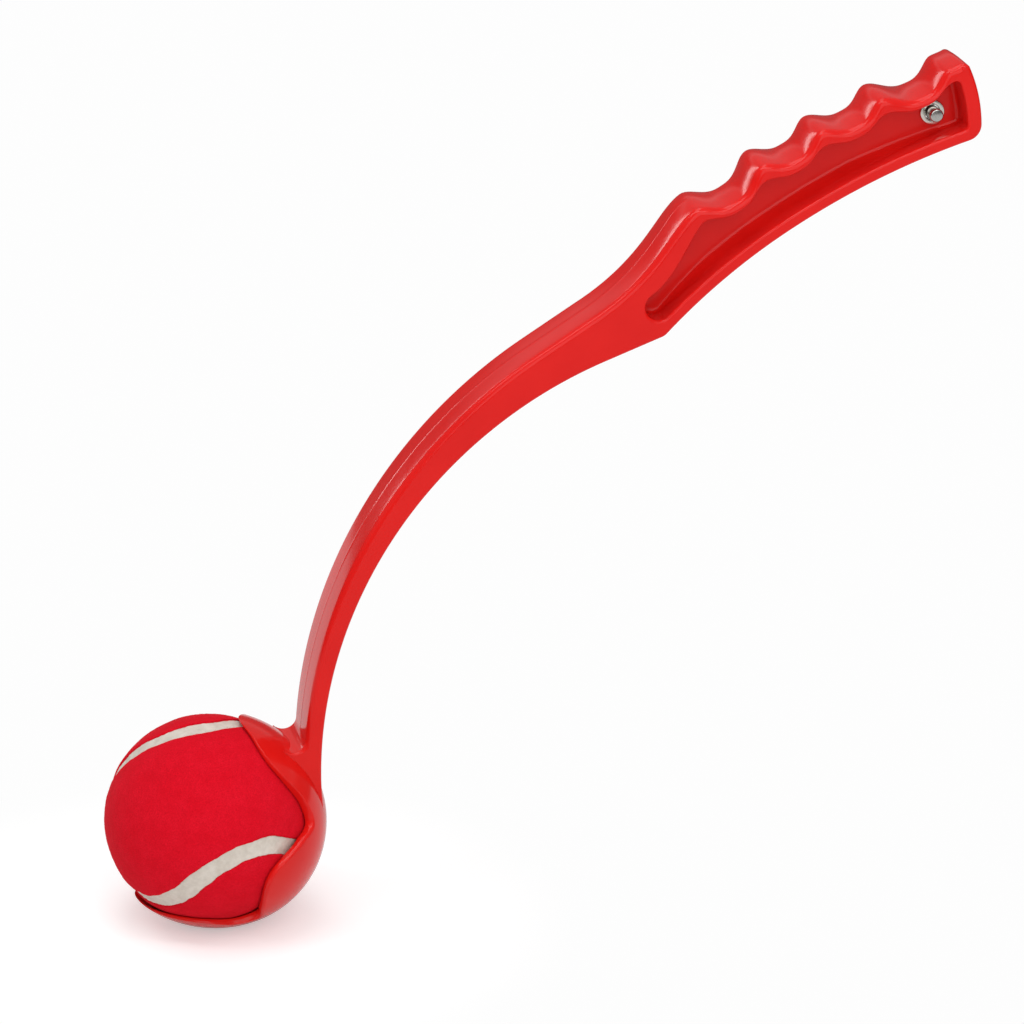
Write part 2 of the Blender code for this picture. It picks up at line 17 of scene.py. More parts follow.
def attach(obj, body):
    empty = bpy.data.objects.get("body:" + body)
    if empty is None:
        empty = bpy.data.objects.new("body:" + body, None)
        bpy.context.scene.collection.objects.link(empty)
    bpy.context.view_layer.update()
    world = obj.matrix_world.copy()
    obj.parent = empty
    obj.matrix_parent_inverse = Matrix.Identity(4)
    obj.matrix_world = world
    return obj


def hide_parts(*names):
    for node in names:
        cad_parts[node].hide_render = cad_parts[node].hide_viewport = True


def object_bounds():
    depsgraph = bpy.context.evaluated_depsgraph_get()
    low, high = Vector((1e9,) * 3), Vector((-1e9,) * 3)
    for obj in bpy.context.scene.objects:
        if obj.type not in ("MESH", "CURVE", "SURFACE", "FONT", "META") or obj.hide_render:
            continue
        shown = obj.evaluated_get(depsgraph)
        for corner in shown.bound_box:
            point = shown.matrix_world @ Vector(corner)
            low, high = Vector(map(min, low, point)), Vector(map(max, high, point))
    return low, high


MM = 0.001

# Clearance between pieces that touch, and how far a cutter runs past the face that it opens
GAP = 0.0003
OVERRUN = 0.002
NUDGE = 0.00001
FELT_TO_CEMENT = GAP / 3

# Ball: a hollow rubber core under two dog-bone felt panels, with cement in the seam
BALL_RADIUS = 0.03225
FELT_THICKNESS = 0.0024
SEAM_WIDTH = 0.0056
SEAM_RECESS = 0.0006
SEAM_HOLLOW = 0.00025
SEAM_LUMP_SHARE = 2
FELT_EDGE_ROLL = 0.0012
FELT_EDGE_DROP = 0.0005
SEAM_SWAY_SHARE = 0.175
# Where the cut edges stray: edge's side, place round the seam, spread each way, and how far
SEAM_DRIFTS = ((1, radians(0.0), radians(28.0), 0.0021), (-1, radians(-5.0), radians(22.0), 0.0014),
               (1, radians(210.0), radians(12.0), -0.0012), (1, radians(240.0), radians(12.0), 0.0011))
PANEL_START = radians(45.0)
BALL_TURN = (radians(-42.2), radians(25.3), radians(-120.9))

# Cup: a bowl round the ball, with a finger above, a finger below and a lobe on each side
MOUTH_TILT = radians(150.0)
CUP_CLEARANCE = 0.0004
CUP_LIP_WALL = 0.0011
CUP_BACK_WALL = 0.0045
CUP_SWELL_POWERS = (1.2, 3.0)
LIP_ROUND_SHARE = 0.3
CUP_FLAT_WALL = 0.00105
# Rim: turn about the mouth's axis from the upper finger, and angle from that axis, in degrees
RIM_DEGREES = (
    (0, 77.5), (16, 83.5), (28.5, 92), (35.5, 105), (40, 122), (48, 132), (64, 128),
    (90, 119.6), (116, 128), (130, 132), (137, 122), (139, 105), (148, 91), (163, 81), (180, 75.5))
BACK_DEGREES = 178.0

# Arm and grip: one slab of even width, with rounded long edges
ARM_WIDTH = 0.022
EDGE_ROUND = 0.002
PALM_EDGE_ROUND = 0.001
BACK_CROWN = 0.00025
CREST_CROWN = 0.0011
CREST_LIFT = 0.0006
GRIP_TILT = radians(32.07)
PARTING_RISE = 0.00007
PARTING_WIDTH = 0.00035

# Arm outline, in grip coordinates: along the grip from its heel, and rise square to it.
# The back is an arc that sweeps from the grip to the cup, and the arm thins on the way.
ARM_SWEEP = radians(62.69)
ARM_BACK_RADIUS = 0.1549
ARM_BACK_ALONG = -0.039
ARM_BACK_RISE = 0.01765
ARM_HEEL_DEPTH = 0.01185
ARM_CUP_DEPTH = 0.0052
ARM_FRONT_END = -0.022
CUP_SEAT_DROP = 0.00279
CUP_FILLET = 0.004
BACK_MEETS_CUP = radians(100.0)
WELD_DEPTH = 0.0004
FRONT_FADE_SHARE = 0.055

# Palm side of the grip
HEEL_ALONG = -0.0027
HEEL_ROUND = 0.0045
PALM_ALONG = 0.044
PALM_RISE = 0.0053
PALM_HEEL_RADIUS = 0.192
PALM_END_RADIUS = 0.238

# Free end of the grip
GRIP_LENGTH = 0.11915
END_RADIUS = 0.046
END_RISE = 0.0218
END_LOWER_ROUND = 0.005
END_UPPER_ROUND = 0.0026

# Finger side of the grip: crests on a shallow arc, grooves between them
CREST_RADIUS = 0.431
CREST_ALONG = 0.032
CREST_RISE = 0.028
CREST_PLACE_SHARES = (0.214, 0.4165, 0.59, 0.764, 0.952)
GROOVE_DEPTH = 0.0053
GROOVE_SHARES = (1.0, 0.78, 0.78, 0.96)
GROOVE_POWER = 3
RAMP_ALONG = -0.02
RAMP_SHARES = ((0.571, -0.06), (0.791, 0.95))

# Pocket in each side of the grip, with a web between them
WEB_THICKNESS = 0.002
PALM_WALL = 0.0037
CREST_WALL = 0.0049
END_WALL = 0.0045
POCKET_GROOVE_SHARE = 0.67
POCKET_CREST_SHIFT = 0.0013
POCKET_FIRST_AHEAD = 0.0014
POCKET_END_ALONG = 0.0006
POCKET_END_ROUND = 0.0043
POCKET_TIP_ROUND = 0.0016
POCKET_TOE_ROUND = 0.0018
POCKET_RAMP_SHARES = ((0.37, 0.04), (0.665, 0.68))
POCKET_FLOOR_ROUND = 0.0012
POCKET_PALM_ROUND = 0.0032
POCKET_PALM_SLOPE = 0.0065
POCKET_RIM_ROUND = 0.0009

# Hang post through a flanged eyelet in the web
POST_FROM_END = 0.01595
POST_FROM_WALL = 0.00633
POST_RADIUS = 0.0021
POST_LENGTH = 0.0132
POST_TIP_ROUND = 0.0005
POST_GROOVE_DEPTH = 0.0003
POST_GROOVE_WIDTH = 0.0006
POST_HEAD = 0.0014
EYELET_BARREL_WALL = 0.0005
EYELET_FLANGE_RADIUS = 0.0038
EYELET_FLANGE = 0.0006
EYELET_FLANGE_ROUND = EYELET_FLANGE / 3

# Felt surface: slow waves, a fibrous grain, a wandering cut edge and a short nap
FELT_WAVE = 0.006
FELT_WAVE_HEIGHT = 0.00012
FELT_GRAIN = 0.0009
FELT_GRAIN_HEIGHT = 0.00007
EDGE_WANDER = 0.0045
EDGE_WANDER_HEIGHT = 0.00045
EDGE_FRAY = 0.0011
EDGE_FRAY_HEIGHT = 0.00016
NAP_FIBRES = 26000
NAP_LENGTH = 0.00055
NAP_LENGTH_SHARES = (0.4, 1.0)
NAP_RISE = (0.2, 0.55)
NAP_WIDTH = 0.00006
NAP_SEED = 7

# Fineness of the surfaces
ARM_STEPS = 96
PALM_STEPS = 24
GROOVE_STEPS = 28
RAMP_STEPS = 26
EDGE_STEPS = 8
CROWN_STEPS = 6
ROUND_STEPS = 12
RIM_STEPS = 10
LIP_STEPS = 8
CUP_ROWS = 44
FELT_RUNGS = 300
FELT_COLUMNS = 90
SEAM_STEPS = 720
SEAM_COLUMNS = 8
SEAM_SPOT_STEP = 4
POST_SIDES = 96
POST_ROUND_STEPS = 5

# Caps how far an outline that is moved reaches out at a sharp corner
LEAST_CORNER_COSINE = 0.5

# Edges that turn by more than this stay sharp
LAUNCHER_SHARP = radians(32.0)
METAL_SHARP = radians(40.0)
CEMENT_SHARP = radians(50.0)
FELT_SHARP = radians(60.0)

# Camera: turned about Z from the view along +Y, raised, and aimed by the place of the ball in the image
VIEW_TURN = radians(-12.0)
VIEW_RISE = radians(19.1)
VIEW_DEPTH = 1.36843
IMAGE_SIZE = 1024
FOCAL_PIXELS = 4400
SENSOR_WIDTH = 36.0
BALL_PIXEL = (208.5, 817.5)

# Strength of the plastic's mirror, where 0.5 is that of its refractive index alone
PLASTIC_SPECULAR = 0.22

# Studio: a white table in a white room, its front and back edges measured from the ball
TABLE_WIDTH = 3.2
TABLE_FRONT = -1.25
TABLE_BACK = 1.7
TABLE_DROP = 0.00002
TABLE_GLOW = 0.41
TABLE_FADE = (0.015, 0.12)
TABLE_MIRROR_LOSS = 0.22
WHITE_LEVEL = 0.985
ROOM_LEVEL = 0.38
# The room in reflections: height from the horizon, 0, to overhead, 1, and brightness there
ROOM_BANDS = ((0.0, 0.12), (0.22, 0.12), (0.29, 0.348), (0.33, 0.58), (0.4, 0.38), (1.0, 0.8))
# Soft boxes: size, power and place
TOP_BOX = ((0.7, 0.5), 2.7, (-0.25, 0.05, 0.9))
STRIP_BOX = ((1.3, 0.2), 3.4, (-0.3, -0.4, 0.78))
BACK_BOX = ((0.12, 0.7), 1.4, (-0.74, 1.02, 0.34))
FRONT_BOX = ((1.0, 0.8), 4.1, (-0.1, -1.0, 0.36))
LIT_PLACE = (-0.1, 0.0, -0.1)

# Places of the mix node's colour sockets, because its other kinds share their names
MIX_INPUTS = (0, 6, 7)
MIX_OUTPUT = 2


# Colours and node materials

def linear(hex_colour):
    """An sRGB hex colour as linear RGBA."""
    channels = []
    for start in (1, 3, 5):
        value = int(hex_colour[start:start + 2], 16) / 255
        channels.append(value / 12.92 if value <= 0.04045 else ((value + 0.055) / 1.055) ** 2.4)
    return (*channels, 1.0)


def add_node(tree, kind, settings=None, inputs=None):
    """Add a node; settings are its properties, and inputs are values or sockets to link from."""
    node = tree.nodes.new(kind)
    for name, value in (settings or {}).items():
        setattr(node, name, value)
    for name, value in (inputs or {}).items():
        if isinstance(value, bpy.types.NodeSocket):
            tree.links.new(value, node.inputs[name])
        else:
            node.inputs[name].default_value = value
    return node


def reckoned(tree, operation, *values):
    """Result of one sum on values or sockets."""
    inputs = dict(enumerate(values))
    return add_node(tree, "ShaderNodeMath", {"operation": operation}, inputs).outputs[0]


def per_metre(period):
    """Scale of a texture whose features repeat once in the given length."""
    return 1 / period


def new_material(name):
    """A material with only its output node, and the object's own coordinates in metres."""
    made = bpy.data.materials.new(name)
    made.use_nodes = True
    tree = made.node_tree
    tree.nodes.clear()
    place = add_node(tree, "ShaderNodeTexCoord").outputs["Object"]
    return made, tree, place


def grain(tree, place, period, detail=2.0, roughness=0.5):
    """Noise from 0 to 1 with features of a real size."""
    inputs = {"Vector": place, "Scale": per_metre(period), "Detail": detail, "Roughness": roughness}
    return add_node(tree, "ShaderNodeTexNoise", inputs=inputs).outputs["Fac"]


def remapped(tree, value, low, high, from_low=0.3, from_high=0.7):
    """A value stretched from the range that noise mostly fills to a new one."""
    inputs = {"Value": value, "From Min": from_low, "From Max": from_high, "To Min": low, "To Max": high}
    return add_node(tree, "ShaderNodeMapRange", inputs=inputs).outputs["Result"]


def blended(tree, share, first, second):
    """One colour turning into another by a share from 0 to 1."""
    inputs = dict(zip(MIX_INPUTS, (share, first, second)))
    return add_node(tree, "ShaderNodeMix", {"data_type": "RGBA"}, inputs).outputs[MIX_OUTPUT]


def raised(tree, height, depth, below=None):
    """Bump from a height of 0 to 1 that stands for a real depth."""
    inputs = {"Height": height, "Distance": depth, "Strength": 1.0}
    if below is not None:
        inputs["Normal"] = below
    return add_node(tree, "ShaderNodeBump", inputs=inputs).outputs["Normal"]


def finish_surface(tree, shader_inputs):
    """Close a material with one surface shader."""
    shader = add_node(tree, "ShaderNodeBsdfPrincipled", inputs=shader_inputs)
    add_node(tree, "ShaderNodeOutputMaterial", inputs={"Surface": shader.outputs["BSDF"]})


def moulded_polypropylene():
    """Red polypropylene from a polished mould: a deep clean red with a thin gloss and faint orange peel."""
    made, tree, place = new_material("moulded_polypropylene")
    cloud = remapped(tree, grain(tree, place, 22 * MM, detail=3.0), 0.0, 1.0)
    colour = blended(tree, cloud, linear("#d81714"), linear("#e01b17"))
    peel = raised(tree, grain(tree, place, 1.6 * MM, detail=1.0), 0.006 * MM)
    fine = raised(tree, grain(tree, place, 0.35 * MM, detail=2.0), 0.0015 * MM, peel)
    gloss = remapped(tree, grain(tree, place, 9 * MM, detail=4.0, roughness=0.6), 0.11, 0.18)
    finish_surface(tree, {"Base Color": colour, "Roughness": gloss, "IOR": 1.49,
                          "Specular IOR Level": PLASTIC_SPECULAR, "Normal": fine})
    return made


def needled_felt():
    """Red wool and nylon felt, needled and brushed: matte, cloudy, with a soft bright edge."""
    made, tree, place = new_material("needled_felt")
    cloud = remapped(tree, grain(tree, place, 5 * MM, detail=4.0, roughness=0.6), 0.0, 1.0)
    fibre = remapped(tree, grain(tree, place, 0.45 * MM, detail=4.0, roughness=0.75), 0.0, 1.0, 0.32, 0.68)
    body = blended(tree, cloud, linear("#e20d23"), linear("#ee172e"))
    colour = blended(tree, fibre, linear("#cc091d"), body)
    lumps = raised(tree, grain(tree, place, 1.3 * MM, detail=3.0, roughness=0.6), 0.16 * MM)
    fuzz = raised(tree, grain(tree, place, 0.3 * MM, detail=4.0, roughness=0.8), 0.10 * MM, lumps)
    finish_surface(tree, {"Base Color": colour, "Roughness": 0.95, "IOR": 1.46, "Specular IOR Level": 0.1,
                          "Sheen Weight": 0.08, "Sheen Roughness": 0.45, "Sheen Tint": linear("#f0606a"),
                          "Normal": fuzz})
    return made


def set_rubber_cement():
    """Off-white natural rubber cement that set in the seam: dull, lumpy and a little stained."""
    made, tree, place = new_material("set_rubber_cement")
    stain = remapped(tree, grain(tree, place, 3 * MM, detail=5.0, roughness=0.65), 0.0, 1.0)
    colour = blended(tree, stain, linear("#cbc1b4"), linear("#e2dacf"))
    lumps = raised(tree, grain(tree, place, 0.8 * MM, detail=4.0, roughness=0.7), 0.12 * MM)
    dull = remapped(tree, grain(tree, place, 2 * MM, detail=3.0), 0.6, 0.85)
    finish_surface(tree, {"Base Color": colour, "Roughness": dull, "IOR": 1.52, "Normal": lumps})
    return made


def moulded_core_rubber():
    """Dark butyl rubber from a matte mould: dull with a fine grain."""
    made, tree, place = new_material("moulded_core_rubber")
    cloud = remapped(tree, grain(tree, place, 4 * MM, detail=3.0), 0.0, 1.0)
    colour = blended(tree, cloud, linear("#2a2928"), linear("#35332f"))
    pores = raised(tree, grain(tree, place, 0.4 * MM, detail=3.0), 0.03 * MM)
    finish_surface(tree, {"Base Color": colour, "Roughness": 0.75, "IOR": 1.52, "Normal": pores})
    return made


def turned_metal(name, dark, light, gloss_range):
    """Metal turned about the post's axis: fine rings catch the light on its faces."""
    made, tree, place = new_material(name)
    parts = add_node(tree, "ShaderNodeSeparateXYZ", inputs={"Vector": place})
    flat = add_node(tree, "ShaderNodeCombineXYZ", inputs={"X": parts.outputs["X"], "Y": parts.outputs["Z"]})
    from_axis = add_node(tree, "ShaderNodeVectorMath", {"operation": "LENGTH"},
                         {0: flat.outputs["Vector"]}).outputs["Value"]
    turned = add_node(tree, "ShaderNodeCombineXYZ", inputs={"X": from_axis, "Y": parts.outputs["Y"]})
    rings = grain(tree, turned.outputs["Vector"], 0.12 * MM, detail=3.0, roughness=0.7)
    colour = blended(tree, remapped(tree, rings, 0.0, 1.0), linear(dark), linear(light))
    gloss = remapped(tree, grain(tree, place, 0.9 * MM, detail=3.0), *gloss_range)
    finish_surface(tree, {"Base Color": colour, "Metallic": 1.0, "Roughness": gloss,
                          "Normal": raised(tree, rings, 0.003 * MM)})
    return made


def bright_nickel():
    """Nickel plate on a stamped and turned eyelet: bright, slightly warm."""
    return turned_metal("bright_nickel", "#cfcac1", "#e4e0d8", (0.10, 0.20))


def polished_steel():
    """Turned and polished steel pin: bright, neutral, with faint tool rings."""
    return turned_metal("polished_steel", "#a7a5a2", "#cbc8c4", (0.12, 0.22))


# Mesh making

def shown(name, data):
    """An object of the given data, in the scene."""
    item = bpy.data.objects.new(name, data)
    bpy.context.scene.collection.objects.link(item)
    return item


def finished_mesh(name, mesh):
    """Turn all faces outwards and make an object of them."""
    bmesh.ops.recalc_face_normals(mesh, faces=mesh.faces)
    data = bpy.data.meshes.new(name)
    mesh.to_mesh(data)
    mesh.free()
    return shown(name, data)


def surfaced(name, rings, closed=False):
    """Join equal rings of points by quads; the ends are capped, or joined to each other."""
    mesh = bmesh.new()
    rows = [[mesh.verts.new(point) for point in ring] for ring in rings]
    pairs = list(zip(rows, rows[1:]))
    if closed:
        pairs.append((rows[-1], rows[0]))
    else:
        mesh.faces.new(rows[0])
        mesh.faces.new(rows[-1])
    for row, following in pairs:
        for index in range(len(row)):
            after = (index + 1) % len(row)
            mesh.faces.new((row[index], row[after], following[after], following[index]))
    return finished_mesh(name, mesh)


def combine(target, tool, operation):
    """Work an exact Boolean into the target's mesh and drop the tool."""
    modifier = target.modifiers.new(tool.name, "BOOLEAN")
    modifier.operation = operation
    modifier.solver = "EXACT"
    modifier.object = tool
    settle(target)
    bpy.data.objects.remove(tool, do_unlink=True)


def settle(item):
    """Work the item's modifiers into its mesh."""
    depsgraph = bpy.context.evaluated_depsgraph_get()
    made = bpy.data.meshes.new_from_object(item.evaluated_get(depsgraph))
    item.modifiers.clear()
    item.data = made


def smooth(item, sharp_angle):
    """Shade the item smooth, apart from edges that turn by more than the angle."""
    item.data.shade_smooth()
    item.data.set_sharp_from_angle(angle=sharp_angle)


def dressed(item, finish, place, body, nodes):
    """Move a finished mesh to its place, give it its material and tie it to its body and nodes."""
    item.data.transform(place)
    item.data.materials.clear()
    item.data.materials.append(finish)
    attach(item, body)
    if nodes:
        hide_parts(*nodes)
    return item


# Side-plane geometry

def arm_place(angle, depth):
    """Grip coordinates of a place on the arm: its angle round the sweep, and its depth under the back."""
    radius = ARM_BACK_RADIUS - depth
    along = ARM_BACK_ALONG - radius * sin(angle)
    rise = ARM_BACK_RISE - ARM_BACK_RADIUS + radius * cos(angle)
    return along, rise


def arm_depth(angle):
    """Depth of the arm, which thins from the heel to the cup."""
    thinning = (1 - cos(ARM_SWEEP - angle)) / (1 - cos(ARM_SWEEP))
    return ARM_CUP_DEPTH + (ARM_HEEL_DEPTH - ARM_CUP_DEPTH) * thinning


def from_grip(along, rise):
    """Grip coordinates to (x, z) from the ball's centre, which lies at the end of the arm's sweep."""
    ball_along, ball_rise = arm_place(ARM_SWEEP, CUP_SEAT_DROP - BALL_RADIUS)
    ahead = along - ball_along
    above = rise - ball_rise
    x = ahead * cos(GRIP_TILT) - above * sin(GRIP_TILT)
    z = ahead * sin(GRIP_TILT) + above * cos(GRIP_TILT)
    return Vector((x, z))


def along_grip(point):
    """How far along the grip a point in the side plane lies."""
    ahead = point - from_grip(0.0, 0.0)
    return ahead.x * cos(GRIP_TILT) + ahead.y * sin(GRIP_TILT)


def angle_to(centre, point):
    """Direction from a centre to a point in the side plane."""
    return atan2(point.y - centre.y, point.x - centre.x)


def arc(centre, radius, start, end, steps):
    """Points along an arc the short way round, both ends included."""
    sweep = (end - start + pi) % (2 * pi) - pi
    angles = [start + sweep * step / steps for step in range(steps + 1)]
    return [centre + radius * Vector((cos(angle), sin(angle))) for angle in angles]


def meeting(centre_a, radius_a, centre_b, radius_b, side):
    """One of the two points where circles a and b cross; side is 1 for left of a to b, -1 for right."""
    apart = centre_b - centre_a
    run = (apart.length_squared + radius_a ** 2 - radius_b ** 2) / (2 * apart.length)
    off = sqrt(radius_a ** 2 - run ** 2)
    along = apart.normalized()
    return centre_a + along * run + side * off * Vector((-along.y, along.x))


def bend(start, end, handle_shares, steps):
    """A cubic curve whose handles are shares of the box from start to end, in grip coordinates."""
    size = (end[0] - start[0], end[1] - start[1])
    knots = [Vector(start)]
    for along_share, rise_share in handle_shares:
        knots.append(Vector((start[0] + size[0] * along_share, start[1] + size[1] * rise_share)))
    knots.append(Vector(end))
    return [from_grip(point.x, point.y) for point in interpolate_bezier(*knots, steps + 1)]


def rounded_corner(before, corner, after, radius, steps):
    """The arc that rounds a corner between two nearly straight runs."""
    towards_before = (before - corner).normalized()
    towards_after = (after - corner).normalized()
    half = acos(towards_before.dot(towards_after)) / 2
    centre = corner + (towards_before + towards_after).normalized() * radius / sin(half)
    start = corner + towards_before * radius / tan(half)
    end = corner + towards_after * radius / tan(half)
    return arc(centre, radius, angle_to(centre, start), angle_to(centre, end), steps)


def crest_line(along):
    """Rise of the arc on which the crests lie."""
    return CREST_RISE - CREST_RADIUS + sqrt(CREST_RADIUS ** 2 - (along - CREST_ALONG) ** 2)


def ridges(first_crest, last_crest, lowered, shift, depth):
    """Crests and grooves from the last crest back to the first, the whole row lowered and shifted."""
    points = []
    middle = [share * GRIP_LENGTH for share in CREST_PLACE_SHARES[1:-1]]
    crests = [first_crest] + middle + [last_crest]
    gaps = list(zip(crests, crests[1:], GROOVE_SHARES))
    for start, end, groove_share in reversed(gaps):
        for step in range(GROOVE_STEPS):
            place = 1 - step / GROOVE_STEPS
            along = start + (end - start) * place
            dip = depth * groove_share * (1 - abs(cos(pi * place)) ** GROOVE_POWER)
            points.append(from_grip(along - shift, crest_line(along) - lowered - dip))
    return points


def palm(lift, from_along, to_along, radius):
    """Points of one palm arc, moved into the grip by the lift."""
    centre = from_grip(PALM_ALONG, PALM_RISE - radius)
    start = pi / 2 + GRIP_TILT - asin((from_along - PALM_ALONG) / (radius + lift))
    end = pi / 2 + GRIP_TILT - asin((to_along - PALM_ALONG) / (radius + lift))
    return arc(centre, radius + lift, start, end, PALM_STEPS)


def grip_end(inset, lower_round):
    """End of the palm, rounded lower corner and start of the end face, moved inwards by the inset."""
    palm_centre = from_grip(PALM_ALONG, PALM_RISE - PALM_END_RADIUS)
    end_centre = from_grip(GRIP_LENGTH - END_RADIUS, END_RISE)
    palm_radius = PALM_END_RADIUS + inset[0]
    end_radius = END_RADIUS - inset[1]
    middle = meeting(palm_centre, palm_radius + lower_round, end_centre, end_radius - lower_round, -1)
    on_palm = angle_to(palm_centre, middle)
    on_end = angle_to(end_centre, middle)
    points = arc(palm_centre, palm_radius, pi / 2 + GRIP_TILT, on_palm, PALM_STEPS)
    points += arc(middle, lower_round, angle_to(middle, points[-1]), on_end, ROUND_STEPS)[1:]
    return points, end_centre, end_radius, on_end


def grip_tip(end_centre, end_radius, on_end, crest_centre, corner_round):
    """The end face from its lower corner upwards, the round that joins it to the crests, and its middle."""
    crest_radius = CREST_RADIUS - corner_round
    tip = meeting(end_centre, end_radius - corner_round, crest_centre, crest_radius, 1)
    to_end = angle_to(end_centre, tip)
    face = arc(end_centre, end_radius, on_end, to_end, ROUND_STEPS)[1:]
    corner = arc(tip, corner_round, to_end, angle_to(crest_centre, tip), ROUND_STEPS)[1:]
    return face, corner, tip


def arm_and_grip_outline():
    """The slab's outline, from the cup along front and back, and each point's round, crown, lift and rib."""
    ball = Vector((0.0, 0.0))
    weld_radius = BALL_RADIUS + CUP_CLEARANCE + WELD_DEPTH
    past_heel = asin((ARM_FRONT_END - ARM_BACK_ALONG) / (ARM_BACK_RADIUS - ARM_HEEL_DEPTH))
    front = []
    for step in range(ARM_STEPS + 1):
        angle = ARM_SWEEP - (ARM_SWEEP + past_heel) * step / ARM_STEPS
        front.append(from_grip(*arm_place(angle, arm_depth(angle))))

    heel_palm = palm(0.0, HEEL_ALONG, PALM_ALONG, PALM_HEEL_RADIUS)
    heel = rounded_corner(front[-1], heel_palm[0], heel_palm[1], HEEL_ROUND, ROUND_STEPS)
    lower, end_centre, end_radius, on_end = grip_end((0.0, 0.0), END_LOWER_ROUND)

    crest_centre = from_grip(CREST_ALONG, CREST_RISE - CREST_RADIUS)
    face, corner, _ = grip_tip(end_centre, end_radius, on_end, crest_centre, END_UPPER_ROUND)

    first_crest = CREST_PLACE_SHARES[0] * GRIP_LENGTH
    ramp = bend((RAMP_ALONG, ARM_BACK_RISE), (first_crest, crest_line(first_crest)), RAMP_SHARES, RAMP_STEPS)

    back_centre = from_grip(ARM_BACK_ALONG, ARM_BACK_RISE - ARM_BACK_RADIUS)
    cup_edge = sqrt(cup_outer_radius(0.0, BACK_MEETS_CUP) ** 2 - (ARM_WIDTH / 2 - EDGE_ROUND) ** 2)
    fillet = meeting(back_centre, ARM_BACK_RADIUS + CUP_FILLET, ball, cup_edge + CUP_FILLET, -1)
    on_back = angle_to(back_centre, fillet)
    on_cup = angle_to(ball, fillet)
    back = arc(back_centre, ARM_BACK_RADIUS, pi / 2 + GRIP_TILT, on_back, ARM_STEPS)
    into_cup = arc(fillet, CUP_FILLET, on_back + pi, on_cup + pi, ROUND_STEPS)[1:]
    weld = arc(ball, weld_radius, on_cup, angle_to(ball, front[0]), ROUND_STEPS)

    last_crest = CREST_PLACE_SHARES[-1] * GRIP_LENGTH
    under = front + heel + heel_palm[1:-1] + lower + face
    fingers = ridges(first_crest, last_crest, 0.0, 0.0, GROOVE_DEPTH)
    fades = [min(index / ARM_STEPS / FRONT_FADE_SHARE, 1.0) for index in range(len(under))]
    rounds = [PALM_EDGE_ROUND * fade for fade in fades]
    crowns = [0.0] * len(under)
    lifts = [0.0] * len(under + corner)
    for step in range(len(corner)):
        share = (step + 1) / len(corner)
        rounds.append(PALM_EDGE_ROUND + (EDGE_ROUND - PALM_EDGE_ROUND) * share)
        crowns.append(CREST_CROWN * share)
    rounds += [EDGE_ROUND] * len(fingers + ramp + back)
    crowns += [CREST_CROWN] * len(fingers)
    lifts += [CREST_LIFT * min(step / GROOVE_STEPS, 1.0) for step in range(len(fingers))]
    for step in range(RAMP_STEPS + 1):
        share = 1 - step / RAMP_STEPS
        crowns.append(BACK_CROWN + (CREST_CROWN - BACK_CROWN) * share)
        lifts.append(CREST_LIFT * share)
    crowns += [BACK_CROWN] * len(back)
    for step in range(ROUND_STEPS):
        share = 1 - (step + 1) / ROUND_STEPS
        rounds.append(EDGE_ROUND * share)
        crowns.append(BACK_CROWN * share)
    rounds += [0.0] * len(weld)
    crowns += [0.0] * len(weld)
    lifts += [0.0] * len(back + into_cup + weld)
    outline = under + corner + fingers + ramp[::-1] + back + into_cup + weld
    on_back = len(under + corner + fingers)
    ribs = [0.0] * on_back + [PARTING_RISE] * len(ramp + back) + [0.0] * len(into_cup + weld)
    return outline, list(zip(rounds, crowns, lifts, ribs))


def pocket_outline():
    """Outline of the grip's side pocket, a wall's thickness inside the slab's own."""
    heel_palm = palm(PALM_WALL, POCKET_END_ALONG, PALM_ALONG, PALM_HEEL_RADIUS)
    lower, end_centre, end_radius, on_end = grip_end((PALM_WALL, END_WALL), POCKET_TOE_ROUND)

    crest_centre = from_grip(CREST_ALONG - POCKET_CREST_SHIFT, CREST_RISE - CREST_WALL - CREST_RADIUS)
    face, corner, tip = grip_tip(end_centre, end_radius, on_end, crest_centre, POCKET_TIP_ROUND)
    first_crest = CREST_PLACE_SHARES[0] * GRIP_LENGTH + POCKET_FIRST_AHEAD
    last_crest = along_grip(tip) + POCKET_CREST_SHIFT
    depth = GROOVE_DEPTH * POCKET_GROOVE_SHARE
    row = ridges(first_crest, last_crest, CREST_WALL, POCKET_CREST_SHIFT, depth)

    foot = from_grip(POCKET_END_ALONG, 0.0)
    upwards = Vector((-sin(GRIP_TILT), cos(GRIP_TILT)))
    lowest = (heel_palm[0] - foot).dot(upwards)
    top = lowest + 2 * POCKET_END_ROUND
    peak = (first_crest - POCKET_CREST_SHIFT, crest_line(first_crest) - CREST_WALL)
    ramp = bend((POCKET_END_ALONG, top), peak, POCKET_RAMP_SHARES, RAMP_STEPS)
    middle = from_grip(POCKET_END_ALONG, lowest + POCKET_END_ROUND)
    upper = arc(middle, POCKET_END_ROUND, pi / 2 + GRIP_TILT, pi + GRIP_TILT, ROUND_STEPS)[1:]
    under = arc(middle, POCKET_END_ROUND, pi + GRIP_TILT, 1.5 * pi + GRIP_TILT, ROUND_STEPS)[1:-1]
    return heel_palm[:-1] + lower + face + corner + row + ramp[::-1] + upper + under


def moved_in(outline, insets):
    """The outline with each point moved square to it into its own area."""
    moved = []
    count = len(outline)
    for index, point in enumerate(outline):
        before = (point - outline[index - 1]).normalized()
        after = (outline[(index + 1) % count] - point).normalized()
        left = Vector((-(before.y + after.y), before.x + after.x)).normalized()
        stretch = 1 / max(left.dot(Vector((-after.y, after.x))), LEAST_CORNER_COSINE)
        moved.append(point + left * insets[index] * stretch)
    return moved


def inset_ring(outline, inset, level):
    """The outline moved into its own area, at one level across the slab."""
    return [Vector((point.x, level, point.y)) for point in moved_in(outline, [inset] * len(outline))]


